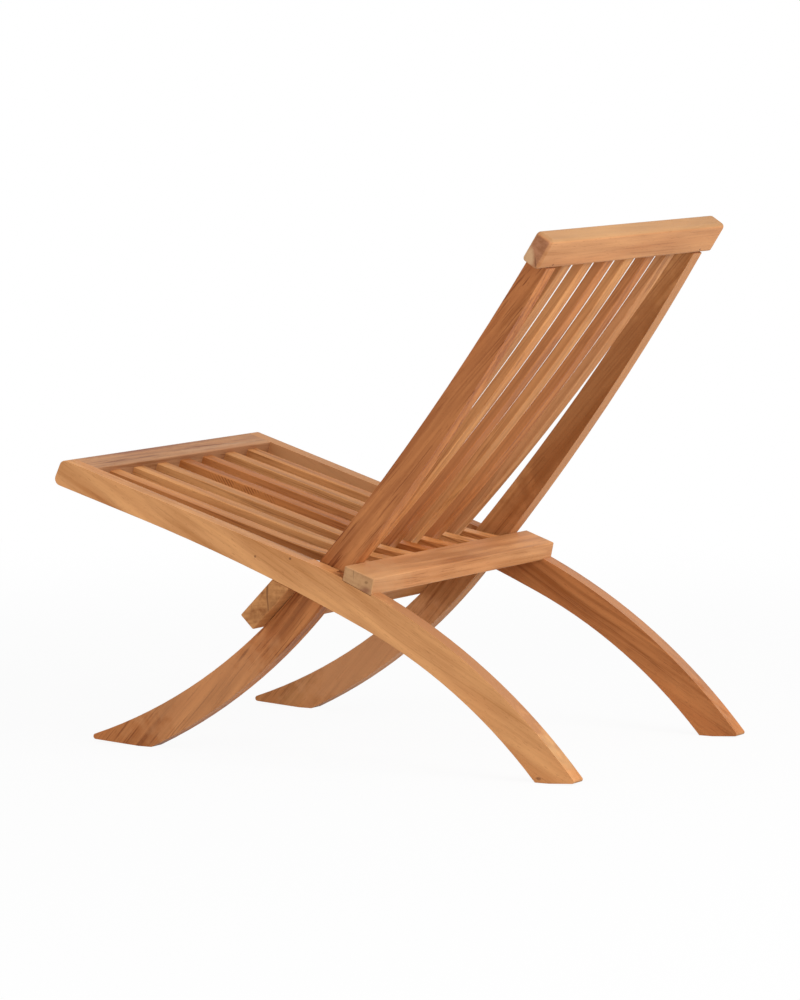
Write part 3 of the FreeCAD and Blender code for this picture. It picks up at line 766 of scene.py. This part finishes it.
for name, (middle, end_colour, heading, seed, look) in board_looks.items():
    paint(nodes[name], wood("teak_" + name, shades(middle, end_colour), heading, seed, **look))
    eased = "dowels" not in name and "pins" not in name
    rounding = slat_arris_round if "slat" in name else arris_round
    dress(nodes[name], rounding if eased else 0.0)
metal = steel("brushed_steel")
for name in ("pivot_pins", "spacer_washers"):
    paint(nodes[name], metal)
    dress(nodes[name], 0.0)


def make_camera():
    """The photograph's camera. Its own Z points back, from the chair to the camera."""
    turn = math.radians(camera_azimuth)
    rise = math.radians(camera_elevation)
    roll = math.radians(camera_roll)
    back = Vector((
        math.sin(turn) * math.cos(rise), -math.cos(turn) * math.cos(rise), math.sin(rise)))
    level = (-back).cross(Vector((0.0, 0.0, 1.0))).normalized()
    upright = level.cross(-back)
    right = math.cos(roll) * level + math.sin(roll) * upright
    up = math.cos(roll) * upright - math.sin(roll) * level
    data = bpy.data.cameras.new("photo_camera")
    data.sensor_width = sensor_width
    data.lens = camera_lens
    data.clip_end = camera_reach
    camera = bpy.data.objects.new("photo_camera", data)
    turned = Matrix((right, up, back)).transposed()
    camera.matrix_world = Matrix.Translation(camera_place) @ turned.to_4x4()
    bpy.context.scene.collection.objects.link(camera)
    bpy.context.scene.camera = camera


def make_floor():
    """A wide floor that the camera sees as white, with a faint shadow near the chair."""
    mesh = bpy.data.meshes.new("floor")
    corners = [
        (-floor_reach, -floor_reach, 0.0), (floor_reach, -floor_reach, 0.0),
        (floor_reach, floor_reach, 0.0), (-floor_reach, floor_reach, 0.0)]
    mesh.from_pydata(corners, [], [(0, 1, 2, 3)])
    floor = bpy.data.objects.new("floor", mesh)
    bpy.context.scene.collection.objects.link(floor)
    material = bpy.data.materials.new("floor_white")
    material.use_nodes = True
    n = Nodes(material.node_tree)
    shader = material.node_tree.nodes["Principled BSDF"]
    shader.inputs["Base Color"].default_value = floor_colour
    shader.inputs["Roughness"].default_value = floor_roughness
    shader.inputs["Specular IOR Level"].default_value = 0.0
    glow = n.add("ShaderNodeEmission")
    glow.inputs["Color"].default_value = white
    glow.inputs["Strength"].default_value = 1.0
    spot = n.add("ShaderNodeTexCoord")
    away = n.span(n.vector("LENGTH", spot.outputs["Object"]), *floor_fade)
    whiteness = n.math("MULTIPLY_ADD", away, 1.0 - floor_whiteness, floor_whiteness)
    mix = n.add("ShaderNodeMixShader")
    n.link(n.math("MULTIPLY", seen_directly(n), whiteness), mix.inputs[0])
    n.link(shader.outputs[0], mix.inputs[1])
    n.link(glow.outputs[0], mix.inputs[2])
    n.link(mix.outputs[0], material.node_tree.nodes["Material Output"].inputs["Surface"])
    mesh.materials.append(material)


def seen_directly(n):
    """One for what the camera sees, straight or in a reflection, and zero for plain light."""
    path = n.add("ShaderNodeLightPath")
    direct = n.math("MAXIMUM", path.outputs["Is Camera Ray"], path.outputs["Is Glossy Ray"])
    return n.math("MAXIMUM", direct, path.outputs["Is Transmission Ray"])


def make_world():
    """Even light from all round, seen by the camera as plain white."""
    world = bpy.data.worlds.new("studio")
    bpy.context.scene.world = world
    world.use_nodes = True
    n = Nodes(world.node_tree)
    world.node_tree.nodes.clear()
    out = n.add("ShaderNodeOutputWorld")
    light = n.add("ShaderNodeBackground")
    light.inputs["Color"].default_value = white
    light.inputs["Strength"].default_value = world_strength
    seen = n.add("ShaderNodeBackground")
    seen.inputs["Color"].default_value = white
    seen.inputs["Strength"].default_value = 1.0
    mix = n.add("ShaderNodeMixShader")
    n.link(seen_directly(n), mix.inputs[0])
    n.link(light.outputs[0], mix.inputs[1])
    n.link(seen.outputs[0], mix.inputs[2])
    n.link(mix.outputs[0], out.inputs["Surface"])


def make_lamp(name, place, target, size, power):
    """A soft square lamp that faces its target."""
    data = bpy.data.lights.new(name, "AREA")
    data.shape = "SQUARE"
    data.size = size
    data.energy = power
    lamp = bpy.data.objects.new(name, data)
    lamp.location = place
    way = Vector(target) - Vector(place)
    lamp.rotation_euler = way.to_track_quat("-Z", "Y").to_euler()
    bpy.context.scene.collection.objects.link(lamp)


make_camera()
make_floor()
make_world()
make_lamp("key", **key_lamp)
make_lamp("fill", **fill_lamp)
bpy.context.scene.view_settings.view_transform = "Standard"
